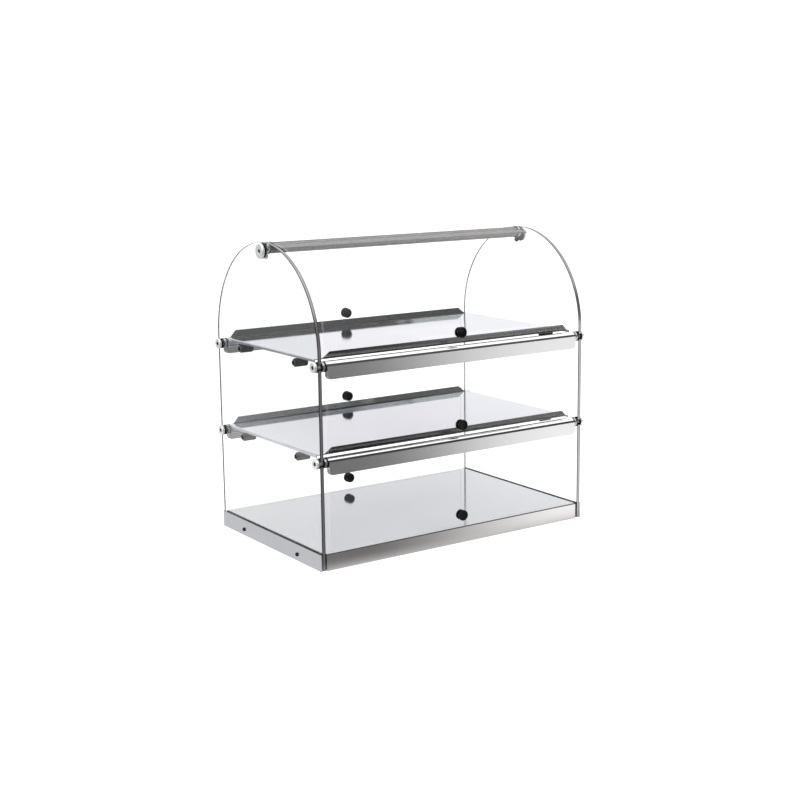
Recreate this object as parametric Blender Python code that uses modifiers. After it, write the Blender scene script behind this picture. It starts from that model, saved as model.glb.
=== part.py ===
"""Countertop three-tier hot food display case.

Metres, +Z up, +X along the long side, front at -Y, origin under the middle of the case.
"""
import math

import bmesh
import bpy
from mathutils import Matrix, Vector

MM = 0.001
GAP = 0.3 * MM                       # air left between pieces that touch

# Overall sizes
CASE_LENGTH = 500 * MM               # over the two side covers
CASE_DEPTH = 310 * MM                # end glasses and base
BASE_TOP = 27.5 * MM
SKIRT_BOTTOM = 2 * MM                # feet lift the skirt off the counter
SHEET = 1.2 * MM                     # stainless sheet of base and shelves

# End glasses
COVER_THICK = 1.5 * MM
GLASS_THICK = 6 * MM
GLASS_OUT = CASE_LENGTH / 2 - COVER_THICK - GAP
GLASS_IN = GLASS_OUT - GLASS_THICK
GLASS_BOTTOM = 3 * MM
ARCH_RADIUS = CASE_DEPTH / 2
ARCH_CENTRE = 320 * MM               # height of the centre of the round top

# Rods and the hinge profiles that turn on them
ROD_Y = 148 * MM
LEVELS = {"upper": 305.2 * MM, "lower": 163.8 * MM}
TOP_ROD_Z = 466 * MM
ROD_RADIUS = 5 * MM
COLLAR_LENGTH = 7.4 * MM
COLLAR_RADIUS = {"top": 9.5 * MM, "upper": 8 * MM, "lower": 8 * MM}
CAP_RADIUS = {"top": 11.5 * MM, "upper": 8 * MM, "lower": 8 * MM}
TOP_BOLT_DROP = 4 * MM               # the top bolts sit lower, further from the glass's edge
CAP_THICK = 4 * MM
CAP_STANDOFF = 1.5 * MM              # room for a rubber washer under the cap
SHANK_RADIUS = 4 * MM
THREAD_RADIUS = 3 * MM
THREAD_DEPTH = {"top": 6.4 * MM, "upper": 11 * MM, "lower": 11 * MM}
TUBE_RADIUS = 8 * MM
TOP_TUBE_RADIUS = 8.4 * MM
TUBE_BORE = ROD_RADIUS + GAP
PROFILE_HALF = GLASS_IN - GAP - COLLAR_LENGTH - 0.5 * MM
BLADE_FRONT = 9.5 * MM               # blade faces, measured outward from the rod's axis
BLADE_BACK = 2 * MM
BLADE_TOP = 2.5 * MM
BLADE_BOTTOM = -18 * MM
SLOT_TOP = -9.6 * MM
CORNER_RADIUS = 6 * MM
LIP_THICK = 2 * MM
LIP_START = 9.5 * MM
LIP_END = 32 * MM
WEB_START = 5 * MM                   # webs tie the lip to its own tubes
WEB_END = 20 * MM
WEB_INSET = 0.2 * MM

# Doors
DOOR_THICK = 3 * MM
DOOR_FACE = 7.2 * MM                 # outer face, outward from the rod's axis
DOOR_BOTTOM = {"upper": 175 * MM, "lower": 30.5 * MM}
CURVE_OUT = ARCH_RADIUS - 0.5 * MM   # outer radius of a curved door
CURVE_START = 11 * MM                # its upper edge, outward from the rod's axis
KNOB_Z = {"top": 333.5 * MM, "upper": 190 * MM, "lower": 46.5 * MM}
KNOB_RADIUS = 8.4 * MM
KNOB_LENGTH = 4.6 * MM
KNOB_BACK_RADIUS = 8 * MM
KNOB_BACK_LENGTH = 3.2 * MM
KNOB_SHANK = 2.5 * MM
KNOB_OFFSET = 6.5 * MM        # off the middle, the same way on each door as its front is looked at

# Shelves
SHELF_RISE = 10 * MM                 # shelf top above the rods of its level
SHELF_HALF = 239 * MM
SHELF_BEND = 138 * MM
FLANGE_LEAN = 3 * MM
FLANGE_HEIGHT = 10 * MM
FLANGE_HALF = 231 * MM
FLANGE_CHAMFER = 11 * MM
SIDE_HEM = 4.5 * MM
PEG_Y = 84 * MM
PEG_RADIUS = 6.5 * MM
PEG_LENGTH = 20 * MM
PEG_STUB = 3 * MM

# Base details
TRAY_HALF = GLASS_IN - 1.7 * MM
FLOOR_Z = 4.5 * MM
FOOT_RADIUS = 11 * MM
FOOT_X = 205 * MM
FOOT_Y = 122 * MM
FOOT_NECK = 3.2 * MM
FOOT_HEAD = 4.4 * MM
SCREW_Y = 84 * MM
SCREW_Z = 12 * MM
SCREW_RADIUS = 2 * MM
SCREW_HEAD = 3 * MM
MAT_SIZE = (440 * MM, 220 * MM, 2 * MM)
INLET_X = 150 * MM
INLET_Z = 14.6 * MM
FLANGE_SIZE = (54 * MM, 22 * MM)
BODY_SIZE = (48 * MM, 17 * MM)
BODY_DEPTH = 24 * MM
ROCKER_X = INLET_X + 15.5 * MM
ROCKER_WIDTH = 10 * MM
ROCKER_HALF = 6.5 * MM
ROCKER_Y = CASE_DEPTH / 2 - 3.5 * MM
ROCKER_TILT = math.radians(8)
PIN_RADIUS = 1.2 * MM

# Facets round a turned piece
CAP_SIDES = 18
ROD_SIDES = 16
SMALL_SIDES = 12

SIDES = {"left": -1, "right": 1}
FACES = {"front": -1, "rear": 1}


# ---------------------------------------------------------------- scene set-up
for old in list(bpy.data.objects):
    bpy.data.objects.remove(old, do_unlink=True)

case = bpy.data.collections.new("hot_food_display_case")
cutters = bpy.data.collections.new("cutters")
for collection in (case, cutters):
    bpy.context.scene.collection.children.link(collection)


def material(name, colour, roughness, metallic, alpha=1.0, transmission=0.0):
    mat = bpy.data.materials.new(name)
    mat.use_nodes = True
    shader = mat.node_tree.nodes["Principled BSDF"]
    shader.inputs["Base Color"].default_value = (*colour, 1.0)
    shader.inputs["Roughness"].default_value = roughness
    shader.inputs["Metallic"].default_value = metallic
    shader.inputs["Alpha"].default_value = alpha
    shader.inputs["Transmission Weight"].default_value = transmission
    return mat


POLISHED = material("polished_steel", (0.80, 0.80, 0.83), 0.06, 1.0)
BRUSHED = material("brushed_steel", (0.50, 0.49, 0.50), 0.32, 1.0)
CHROME = material("chrome", (0.86, 0.86, 0.88), 0.08, 1.0)
GLASS = material("glass", (0.95, 0.98, 0.97), 0.02, 0.0, 0.25, 0.9)
ACRYLIC = material("acrylic", (0.98, 0.99, 0.99), 0.03, 0.0, 0.2, 0.9)
BLACK = material("black_plastic", (0.02, 0.02, 0.022), 0.35, 0.0)
RUBBER = material("rubber", (0.03, 0.03, 0.03), 0.8, 0.0)
GALVANISED = material("galvanised_steel", (0.45, 0.46, 0.47), 0.45, 1.0)
HEATER = material("silicone_heater", (0.45, 0.12, 0.06), 0.6, 0.0)


# ------------------------------------------------------------- modelling tools
def add(name, mesh, mat, cutter=False):
    """Link a mesh or curve as an object, a cutter kept out of renders."""
    obj = bpy.data.objects.new(name, mesh)
    (cutters if cutter else case).objects.link(obj)
    if cutter:
        obj.hide_render = True
        obj.display_type = "WIRE"
    else:
        mesh.materials.append(mat)
    return obj


def box(name, low, high, mat=None, cutter=False):
    low, high = Vector(low), Vector(high)
    shape = bmesh.new()
    size = high - low
    place = Matrix.Translation((low + high) / 2) @ Matrix.Diagonal((*size, 1))
    bmesh.ops.create_cube(shape, size=1, matrix=place)
    mesh = bpy.data.meshes.new(name)
    shape.to_mesh(mesh)
    shape.free()
    return add(name, mesh, mat, cutter)


def rod_cutter(name, centre, radius, half_length, segments=SMALL_SIDES):
    """A cylinder along X, for holes that run through the end glasses."""
    shape = bmesh.new()
    place = Matrix.Translation(centre) @ Matrix.Rotation(math.pi / 2, 4, "Y")
    bmesh.ops.create_cone(shape, cap_ends=True, segments=segments, radius1=radius,
                          radius2=radius, depth=2 * half_length, matrix=place)
    mesh = bpy.data.meshes.new(name)
    shape.to_mesh(mesh)
    shape.free()
    return add(name, mesh, None, cutter=True)


def turned(name, profile, mat, place, segments):
    """Spin (radius, height) points, listed from the top down, about local Z."""
    mesh = bpy.data.meshes.new(name)
    points = [(radius, 0, height) for radius, height in profile]
    edges = [(i, i + 1) for i in range(len(points) - 1)]
    mesh.from_pydata(points, edges, [])
    obj = add(name, mesh, mat)
    obj.matrix_world = place
    screw = obj.modifiers.new("Turn", "SCREW")
    screw.axis = "Z"
    screw.steps = screw.render_steps = segments
    screw.use_merge_vertices = True
    screw.merge_threshold = 0.00005
    screw.use_smooth_shade = True
    return obj


def arc(centre, radius, start, end, steps):
    """Points on an arc, with angles in degrees from the first axis."""
    angles = [math.radians(start + (end - start) * i / steps) for i in range(steps + 1)]
    return [(centre[0] + radius * math.cos(a), centre[1] + radius * math.sin(a)) for a in angles]


def prism(name, outlines, low_x, high_x, mat=None, cutter=False, flip=1):
    """Extrude (y, z) outlines along X; outlines after the first are holes."""
    curve = bpy.data.curves.new(name, "CURVE")
    curve.dimensions = "2D"
    curve.fill_mode = "BOTH"
    curve.extrude = (high_x - low_x) / 2
    for outline in outlines:
        spline = curve.splines.new("POLY")
        spline.points.add(len(outline) - 1)
        spline.use_cyclic_u = True
        for point, (y, z) in zip(spline.points, outline):
            point.co = (flip * y, z, 0, 1)
    obj = bpy.data.objects.new(name, curve)
    case.objects.link(obj)
    turn = Matrix(((0, 0, 1, (low_x + high_x) / 2), (1, 0, 0, 0), (0, 1, 0, 0), (0, 0, 0, 1)))
    obj.matrix_world = turn
    bpy.context.view_layer.update()
    solid = bpy.data.meshes.new_from_object(obj.evaluated_get(bpy.context.evaluated_depsgraph_get()))
    place = obj.matrix_world.copy()
    bpy.data.objects.remove(obj)
    shape = bmesh.new()
    shape.from_mesh(solid)
    bmesh.ops.transform(shape, matrix=place, verts=shape.verts)
    bmesh.ops.remove_doubles(shape, verts=shape.verts, dist=0.000005)
    bmesh.ops.recalc_face_normals(shape, faces=shape.faces)
    shape.to_mesh(solid)
    shape.free()
    solid.name = name
    return add(name, solid, mat, cutter)


def combine(obj, other, operation):
    step = obj.modifiers.new(other.name[:40], "BOOLEAN")
    step.operation = operation
    step.solver = "EXACT"
    step.object = other


def cut(obj, cutter):
    combine(obj, cutter, "DIFFERENCE")


def join(obj, helper):
    combine(obj, helper, "UNION")


def soften(obj, width, segments=2, angle=40):
    bevel = obj.modifiers.new("Round", "BEVEL")
    bevel.width = width
    bevel.segments = segments
    bevel.limit_method = "ANGLE"
    bevel.angle_limit = math.radians(angle)


def along_x(side, start):
    """Placement whose local Z points outward along X on the given side."""
    turn = Matrix.Rotation(side * math.pi / 2, 4, "Y")
    return Matrix.Translation(start) @ turn


def rod_positions():
    """Name, level, y and z of each of the five rods."""
    yield "top_rod", "top", 0, TOP_ROD_Z
    for level, height in LEVELS.items():
        for face, sign in FACES.items():
            yield f"{level}_{face}_rod", level, sign * ROD_Y, height


def bolt_positions():
    """Name, level, y and z of the cap bolts at both ends of each rod."""
    for name, level, y, z in rod_positions():
        yield name, level, y, z - (TOP_BOLT_DROP if level == "top" else 0)


def pivot(name, location):
    """An empty on a joint's axis; the moving pieces hang from it."""
    empty = bpy.data.objects.new(name, None)
    empty.location = location
    empty.empty_display_size = 0.02
    case.objects.link(empty)
    return empty


def hang(child, parent):
    child.parent = parent
    child.matrix_parent_inverse = Matrix.Translation(parent.location).inverted()


# ------------------------------------------------------------------------ base
def make_tray():
    """Deck and its folded skirts: one sheet, open underneath."""
    shape = bmesh.new()
    size = Vector((2 * TRAY_HALF, CASE_DEPTH, BASE_TOP - SKIRT_BOTTOM))
    place = Matrix.Translation((0, 0, (BASE_TOP + SKIRT_BOTTOM) / 2)) @ Matrix.Diagonal((*size, 1))
    bmesh.ops.create_cube(shape, size=1, matrix=place)
    bottom = [face for face in shape.faces if face.normal.z < -0.5]
    bmesh.ops.delete(shape, geom=bottom, context="FACES_ONLY")
    folds = [edge for edge in shape.edges if len(edge.link_faces) == 2]
    bmesh.ops.bevel(shape, geom=folds, offset=1.6 * MM, segments=2, profile=0.5, affect="EDGES")
    mesh = bpy.data.meshes.new("deck_tray")
    shape.to_mesh(mesh)
    shape.free()
    tray = add("deck_tray", mesh, BRUSHED)
    wall = tray.modifiers.new("Sheet", "SOLIDIFY")
    wall.thickness = SHEET
    wall.offset = -1
    wall.use_even_offset = True
    half = (BODY_SIZE[0] / 2 + GAP, BODY_SIZE[1] / 2 + GAP)
    window = box("inlet_window", (INLET_X - half[0], CASE_DEPTH / 2 - 6 * MM, INLET_Z - half[1]),
                 (INLET_X + half[0], CASE_DEPTH / 2 + 6 * MM, INLET_Z + half[1]), cutter=True)
    cut(tray, window)
    for face, sign in FACES.items():
        cut(tray, rod_cutter(f"tray_screw_hole_{face}", (0, sign * SCREW_Y, SCREW_Z),
                             SCREW_RADIUS + GAP, CASE_LENGTH))
    return tray


def make_bottom_plate():
    inset = SHEET + 0.5 * MM
    half_x = TRAY_HALF - inset
    half_y = CASE_DEPTH / 2 - inset
    plate = box("bottom_plate", (-half_x, -half_y, FLOOR_Z), (half_x, half_y, FLOOR_Z + SHEET), GALVANISED)
    for side, x_sign in SIDES.items():
        for face, y_sign in FACES.items():
            shape = bmesh.new()
            place = Matrix.Translation((x_sign * FOOT_X, y_sign * FOOT_Y, FLOOR_Z))
            bmesh.ops.create_cone(shape, cap_ends=True, segments=SMALL_SIDES, radius1=FOOT_NECK + GAP,
                                  radius2=FOOT_NECK + GAP, depth=10 * MM, matrix=place)
            mesh = bpy.data.meshes.new(f"foot_hole_{side}_{face}")
            shape.to_mesh(mesh)
            shape.free()
            cut(plate, add(mesh.name, mesh, None, cutter=True))


def make_feet():
    neck_top = FLOOR_Z + SHEET + GAP
    profile = [(0, neck_top + 2.5 * MM), (FOOT_HEAD - 1 * MM, neck_top + 2.5 * MM), (FOOT_HEAD, neck_top),
               (FOOT_NECK, neck_top), (FOOT_NECK, FLOOR_Z - GAP), (FOOT_RADIUS, FLOOR_Z - GAP),
               (FOOT_RADIUS, 1 * MM), (FOOT_RADIUS - 1 * MM, 0), (0, 0)]
    for side, x_sign in SIDES.items():
        for face, y_sign in FACES.items():
            place = Matrix.Translation((x_sign * FOOT_X, y_sign * FOOT_Y, 0))
            turned(f"foot_{side}_{face}", profile, RUBBER, place, SMALL_SIDES)


def make_side_covers():
    for side, sign in SIDES.items():
        inner, outer = CASE_LENGTH / 2 - COVER_THICK, CASE_LENGTH / 2
        low_x, high_x = sorted((sign * inner, sign * outer))
        cover = box(f"side_cover_{side}", (low_x, -CASE_DEPTH / 2, SKIRT_BOTTOM),
                    (high_x, CASE_DEPTH / 2, BASE_TOP), BRUSHED)
        soften(cover, 0.4 * MM, 1)
        for face, y_sign in FACES.items():
            hole = rod_cutter(f"cover_hole_{side}_{face}", (sign * outer, y_sign * SCREW_Y, SCREW_Z),
                              SCREW_RADIUS + GAP, 10 * MM)
            cut(cover, hole)
            head_base = outer + GAP
            reach = TRAY_HALF - 8 * MM
            profile = [(0, 0.9 * MM), (1.2 * MM, 0.9 * MM), (1.2 * MM, 1.8 * MM),
                       (SCREW_HEAD - 1 * MM, 1.8 * MM), (SCREW_HEAD, 0.9 * MM), (SCREW_HEAD, 0),
                       (SCREW_RADIUS, 0), (SCREW_RADIUS, reach - head_base), (0, reach - head_base)]
            place = along_x(sign, (sign * head_base, y_sign * SCREW_Y, SCREW_Z))
            turned(f"cover_screw_{side}_{face}", profile, BLACK, place, SMALL_SIDES)


def make_heating_mat():
    top = BASE_TOP - SHEET - GAP
    half_x, half_y = MAT_SIZE[0] / 2, MAT_SIZE[1] / 2
    mat = box("heating_mat", (-half_x, -half_y, top - MAT_SIZE[2]), (half_x, half_y, top), HEATER)
    terminal = box("mat_terminal", (INLET_X - 16 * MM, 60 * MM, top - 7 * MM),
                   (INLET_X + 16 * MM, 96 * MM, top - 1 * MM), cutter=True)
    join(mat, terminal)


def make_power_inlet():
    """Appliance inlet and rocker switch housing in one snap-in body."""
    face_y = CASE_DEPTH / 2 + GAP
    half_x, half_z = FLANGE_SIZE[0] / 2, FLANGE_SIZE[1] / 2
    inlet = box("power_inlet", (INLET_X - half_x, face_y, INLET_Z - half_z),
                (INLET_X + half_x, face_y + 2 * MM, INLET_Z + half_z), BLACK)
    half_x, half_z = BODY_SIZE[0] / 2, BODY_SIZE[1] / 2
    join(inlet, box("inlet_body", (INLET_X - half_x, face_y - BODY_DEPTH, INLET_Z - half_z),
                    (INLET_X + half_x, face_y + 1 * MM, INLET_Z + half_z), cutter=True))
    socket_x = INLET_X - 8.5 * MM
    cut(inlet, box("inlet_recess", (socket_x - 12 * MM, face_y - 15 * MM, INLET_Z - 7.6 * MM),
                   (socket_x + 12 * MM, face_y + 5 * MM, INLET_Z + 7.6 * MM), cutter=True))
    for index, (x, z) in enumerate(((-7 * MM, -2 * MM), (0, 2 * MM), (7 * MM, -2 * MM))):
        join(inlet, box(f"inlet_pin_{index}", (socket_x + x - 1 * MM, face_y - 18 * MM, INLET_Z + z - 2 * MM),
                        (socket_x + x + 1 * MM, face_y - 2 * MM, INLET_Z + z + 2 * MM), cutter=True))
    pocket = ROCKER_WIDTH / 2 + 0.5 * MM
    cut(inlet, box("rocker_pocket", (ROCKER_X - pocket, face_y - 14 * MM, INLET_Z - 7.6 * MM),
                   (ROCKER_X + pocket, face_y + 5 * MM, INLET_Z + 7.6 * MM), cutter=True))
    cut(inlet, rod_cutter("rocker_bearing", (ROCKER_X, ROCKER_Y, INLET_Z), PIN_RADIUS + GAP,
                          ROCKER_WIDTH / 2 + 1.8 * MM))


def make_rocker():
    """Rocker with its two trunnions, standing in the off position."""
    hub = arc((0, 0), 3.6 * MM, 200, 340, 6)
    lever = [(x, z) for x, z in hub] + [(ROCKER_HALF, 1.5 * MM), (ROCKER_HALF, 5.6 * MM), (0, 4.6 * MM),
                                        (-ROCKER_HALF, 5.6 * MM), (-ROCKER_HALF, 1.5 * MM)]
    # the lever is drawn with its face up, then turned to look out of the rear
    outline = [(height, -across) for across, height in lever]
    rocker = prism("switch_rocker", [outline], -ROCKER_WIDTH / 2, ROCKER_WIDTH / 2, BLACK)
    join(rocker, rod_cutter("rocker_trunnion", (0, 0, 0), PIN_RADIUS, ROCKER_WIDTH / 2 + 1.2 * MM))
    trunnion = bpy.data.objects["rocker_trunnion"]
    place = Matrix.Translation((ROCKER_X, ROCKER_Y, INLET_Z)) @ Matrix.Rotation(-ROCKER_TILT, 4, "X")
    rocker.matrix_world = place
    trunnion.matrix_world = place


# ---------------------------------------------------------------- end glasses
def make_end_glasses():
    for side, sign in SIDES.items():
        half = CASE_DEPTH / 2
        outline = [(-half, GLASS_BOTTOM), (half, GLASS_BOTTOM)]
        outline += arc((0, ARCH_CENTRE), ARCH_RADIUS, 0, 180, 48)
        low_x, high_x = sorted((sign * GLASS_IN, sign * GLASS_OUT))
        glass = prism(f"end_glass_{side}", [outline], low_x, high_x, GLASS)
        drill = []
        for name, level, y, z in bolt_positions():
            radius = SHANK_RADIUS + 0.4 * MM
            drill.append(rod_cutter(f"{name}_hole_{side}", (sign * GLASS_OUT, y, z), radius, 20 * MM))
            if y:
                edge = math.copysign(half + 5 * MM, y)
                low_y, high_y = sorted((y, edge))
                drill.append(box(f"{name}_notch_{side}", (sign * GLASS_OUT - 19 * MM, low_y, z - radius),
                                 (sign * GLASS_OUT + 19 * MM, high_y, z + radius), cutter=True))
        for face, y_sign in FACES.items():
            screw = (sign * GLASS_OUT, y_sign * SCREW_Y, SCREW_Z)
            drill.append(rod_cutter(f"glass_screw_hole_{side}_{face}", screw, SCREW_RADIUS + 0.6 * MM,
                                    20 * MM))
            for level in LEVELS:
                drill.append(rod_cutter(f"{level}_peg_hole_{side}_{face}",
                                        (sign * GLASS_OUT, y_sign * PEG_Y, peg_height(level)),
                                        PEG_STUB + GAP, 20 * MM))
        for cutter in drill:
            cut(glass, cutter)


# ----------------------------------------------------------------------- rods
def make_rods():
    end = GLASS_IN - GAP
    for name, level, y, z in rod_positions():
        collar = COLLAR_RADIUS[level]
        floor = end - THREAD_DEPTH[level] - 1 * MM
        if level == "top":  # its bolts are off its axis, so their holes are drilled afterwards
            bore = [(0, end)]
        else:
            bore = [(0, floor), (THREAD_RADIUS + GAP, floor), (THREAD_RADIUS + GAP, end)]
        half = bore + [(collar - 0.5 * MM, end), (collar, end - 0.5 * MM),
                       (collar, end - COLLAR_LENGTH + 0.5 * MM), (collar - 0.5 * MM, end - COLLAR_LENGTH),
                       (ROD_RADIUS, end - COLLAR_LENGTH)]
        other = [(radius, -height) for radius, height in reversed(half)]
        rod = turned(name, half + other, CHROME, along_x(1, (0, y, z)), ROD_SIDES)
        if level == "top":
            for side, sign in SIDES.items():
                cut(rod, rod_cutter(f"top_bolt_hole_{side}", (sign * end, y, z - TOP_BOLT_DROP),
                                    THREAD_RADIUS + GAP, end - floor - 0.4 * MM))


def make_caps():
    for name, level, y, z in bolt_positions():
        for side, sign in SIDES.items():
            radius = CAP_RADIUS[level]
            top = CAP_STANDOFF + CAP_THICK
            tip = GLASS_IN - GAP - THREAD_DEPTH[level] - GLASS_OUT
            neck = GLASS_IN - GLASS_OUT
            rim = arc((radius - 1.4 * MM, top - 1.4 * MM), 1.4 * MM, 90, 0, 2)
            profile = ([(0, top - 2.8 * MM), (3 * MM, top - 2.8 * MM), (3 * MM, top)] + rim +
                       [(radius, CAP_STANDOFF), (SHANK_RADIUS, CAP_STANDOFF), (SHANK_RADIUS, neck),
                        (THREAD_RADIUS, neck), (THREAD_RADIUS, tip), (0, tip)])
            place = along_x(sign, (sign * GLASS_OUT, y, z))
            turned(name.replace("_rod", f"_cap_{side}"), profile, CHROME, place, CAP_SIDES)


# -------------------------------------------------------------------- shelves
def shelf_top(level):
    return LEVELS[level] + SHELF_RISE


def peg_height(level):
    return shelf_top(level) - SIDE_HEM - GAP - PEG_RADIUS


def make_shelves():
    for level in LEVELS:
        top = shelf_top(level)
        lip = top + FLANGE_HEIGHT
        out, lean = SHELF_BEND, SHELF_BEND + FLANGE_LEAN
        outline = [(out - 1 * MM, top - SHEET), (out + SHEET - 0.2 * MM, top + 0.4 * MM), (lean + SHEET, lip),
                   (lean, lip), (out - 0.2 * MM, top + 1.2 * MM), (out - 1.4 * MM, top)]
        outline = outline + [(-y, z) for y, z in reversed(outline)]
        shelf = prism(f"{level}_shelf", [outline], -SHELF_HALF, SHELF_HALF, POLISHED)
        for side, sign in SIDES.items():
            low_x, high_x = sorted((sign * (SHELF_HALF - SHEET), sign * (SHELF_HALF - 0.01 * MM)))
            join(shelf, box(f"{level}_hem_{side}", (low_x, -SHELF_BEND + 3 * MM, top - SIDE_HEM),
                            (high_x, SHELF_BEND - 3 * MM, top - SHEET / 2), cutter=True))
            corner = flange_corner(f"{level}_corner_{side}", sign, top)
            cut(shelf, corner)


def flange_corner(name, sign, top):
    """Wedge that cuts the flanges' ends to a slope and frees the corners."""
    start = top + 0.3 * MM
    shape = bmesh.new()
    points = [(FLANGE_HALF, start), (FLANGE_HALF - FLANGE_CHAMFER, top + FLANGE_HEIGHT + 1 * MM),
              (SHELF_HALF + 5 * MM, top + FLANGE_HEIGHT + 1 * MM), (SHELF_HALF + 5 * MM, start)]
    rear = [shape.verts.new((sign * x, 0.16, z)) for x, z in points]
    side = shape.faces.new(rear)
    walls = bmesh.ops.extrude_face_region(shape, geom=[side])
    moved = [item for item in walls["geom"] if isinstance(item, bmesh.types.BMVert)]
    bmesh.ops.translate(shape, verts=moved, vec=(0, -0.32, 0))
    bmesh.ops.recalc_face_normals(shape, faces=shape.faces)
    mesh = bpy.data.meshes.new(name)
    shape.to_mesh(mesh)
    shape.free()
    return add(name, mesh, None, cutter=True)


def make_pegs():
    inner = -(GLASS_THICK + GAP)
    profile = [(0, -0.2 * MM), (PEG_STUB, -0.2 * MM), (PEG_STUB, inner), (PEG_RADIUS, inner),
               (PEG_RADIUS, inner - PEG_LENGTH + 1 * MM), (PEG_RADIUS - 1 * MM, inner - PEG_LENGTH),
               (0, inner - PEG_LENGTH)]
    for level in LEVELS:
        for side, x_sign in SIDES.items():
            for face, y_sign in FACES.items():
                start = (x_sign * GLASS_OUT, y_sign * PEG_Y, peg_height(level))
                turned(f"{level}_peg_{side}_{face}", profile, BLACK, along_x(x_sign, start), SMALL_SIDES)


# ---------------------------------------------------------------------- doors
def hinge_outline():
    """Tube and slotted blade, outward from the rod's axis."""
    ledge = math.degrees(math.asin(BLADE_TOP / TUBE_RADIUS))
    heel = 360 - math.degrees(math.acos(BLADE_BACK / TUBE_RADIUS))
    slot_in, slot_out = DOOR_FACE - DOOR_THICK - GAP, DOOR_FACE + GAP
    return arc((0, 0), TUBE_RADIUS, ledge, heel, 16) + [
        (BLADE_BACK, BLADE_BOTTOM), (slot_in, BLADE_BOTTOM), (slot_in, SLOT_TOP), (slot_out, SLOT_TOP),
        (slot_out, BLADE_BOTTOM), (BLADE_FRONT, BLADE_BOTTOM), (BLADE_FRONT, BLADE_TOP)]


def corner_cutter(name, sign, y_sign, height):
    """Rounds a blade's lower end corner, seen from the front."""
    shape = bmesh.new()
    centre = (PROFILE_HALF - CORNER_RADIUS, BLADE_BOTTOM + CORNER_RADIUS)
    reach = 1 * MM
    points = arc(centre, CORNER_RADIUS, 0, -90, 6) + [
        (PROFILE_HALF - CORNER_RADIUS, BLADE_BOTTOM - reach), (PROFILE_HALF + reach, BLADE_BOTTOM - reach),
        (PROFILE_HALF + reach, BLADE_BOTTOM + CORNER_RADIUS)]
    face = shape.faces.new([shape.verts.new((sign * x, 0, z)) for x, z in points])
    walls = bmesh.ops.extrude_face_region(shape, geom=[face])
    moved = [item for item in walls["geom"] if isinstance(item, bmesh.types.BMVert)]
    bmesh.ops.translate(shape, verts=moved, vec=(0, y_sign * 14 * MM, 0))
    bmesh.ops.translate(shape, verts=shape.verts, vec=(0, y_sign * (ROD_Y - 1 * MM), height))
    bmesh.ops.recalc_face_normals(shape, faces=shape.faces)
    mesh = bpy.data.meshes.new(name)
    shape.to_mesh(mesh)
    shape.free()
    return add(name, mesh, None, cutter=True)


def make_level_doors():
    """Flat flap doors under the four level rods."""
    for level, height in LEVELS.items():
        for face, sign in FACES.items():
            axis = (0, sign * ROD_Y, height)
            hinge_pivot = pivot(f"{level}_{face}_door_axis", axis)
            outline = [(ROD_Y + y, height + z) for y, z in hinge_outline()]
            bore = [(ROD_Y + y, height + z) for y, z in arc((0, 0), TUBE_BORE, 0, 337.5, 15)]
            hinge = prism(f"{level}_{face}_hinge_profile", [outline, bore], -PROFILE_HALF, PROFILE_HALF,
                          BRUSHED, flip=sign)
            for side, x_sign in SIDES.items():
                cut(hinge, corner_cutter(f"{level}_{face}_corner_{side}", x_sign, sign, height))
            hang(hinge, hinge_pivot)
            outer = sign * (ROD_Y + DOOR_FACE)
            low_y, high_y = sorted((outer, outer - sign * DOOR_THICK))
            door = box(f"{level}_{face}_door", (-PROFILE_HALF, low_y, DOOR_BOTTOM[level]),
                       (PROFILE_HALF, high_y, height + SLOT_TOP - GAP), ACRYLIC)
            place = (Matrix.Translation((-sign * KNOB_OFFSET, outer, KNOB_Z[level])) @
                     Matrix.Rotation(-sign * math.pi / 2, 4, "X"))
            fit_knob(f"{level}_{face}", door, place, hinge_pivot)
            hang(door, hinge_pivot)


def fit_knob(prefix, door, place, parent):
    """Double knob through the door: local Z points outward from its outer face."""
    back = -DOOR_THICK - GAP
    rim = arc((KNOB_RADIUS - 1.5 * MM, GAP + KNOB_LENGTH - 1.5 * MM), 1.5 * MM, 90, 0, 2)
    inner_end = back - KNOB_BACK_LENGTH
    inner_rim = arc((KNOB_BACK_RADIUS - 1.2 * MM, inner_end + 1.2 * MM), 1.2 * MM, 0, -90, 2)
    profile = ([(0, GAP + KNOB_LENGTH)] + rim + [(KNOB_RADIUS, GAP), (KNOB_SHANK, GAP), (KNOB_SHANK, back),
               (KNOB_BACK_RADIUS, back)] + inner_rim + [(0, inner_end)])
    knob = turned(f"{prefix}_knob", profile, BLACK, place, CAP_SIDES)
    shape = bmesh.new()
    bmesh.ops.create_cone(shape, cap_ends=True, segments=SMALL_SIDES, radius1=KNOB_SHANK + GAP,
                          radius2=KNOB_SHANK + GAP, depth=30 * MM, matrix=place)
    mesh = bpy.data.meshes.new(f"{prefix}_knob_hole")
    shape.to_mesh(mesh)
    shape.free()
    cut(door, add(mesh.name, mesh, None, cutter=True))
    hang(knob, parent)


def lip_outline(start, end, inset=0.0):
    """Curved lip that carries a curved door, from the rod's axis outward."""
    outer = CURVE_OUT - DOOR_THICK - GAP - inset
    inner = outer - LIP_THICK + 2 * inset
    first = [90 - math.degrees(math.asin(start / radius)) for radius in (inner, outer)]
    last = [90 - math.degrees(math.asin(end / radius)) for radius in (inner, outer)]
    centre = (0, ARCH_CENTRE)
    return arc(centre, inner, first[0], last[0], 5) + arc(centre, outer, last[1], first[1], 5)


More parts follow.
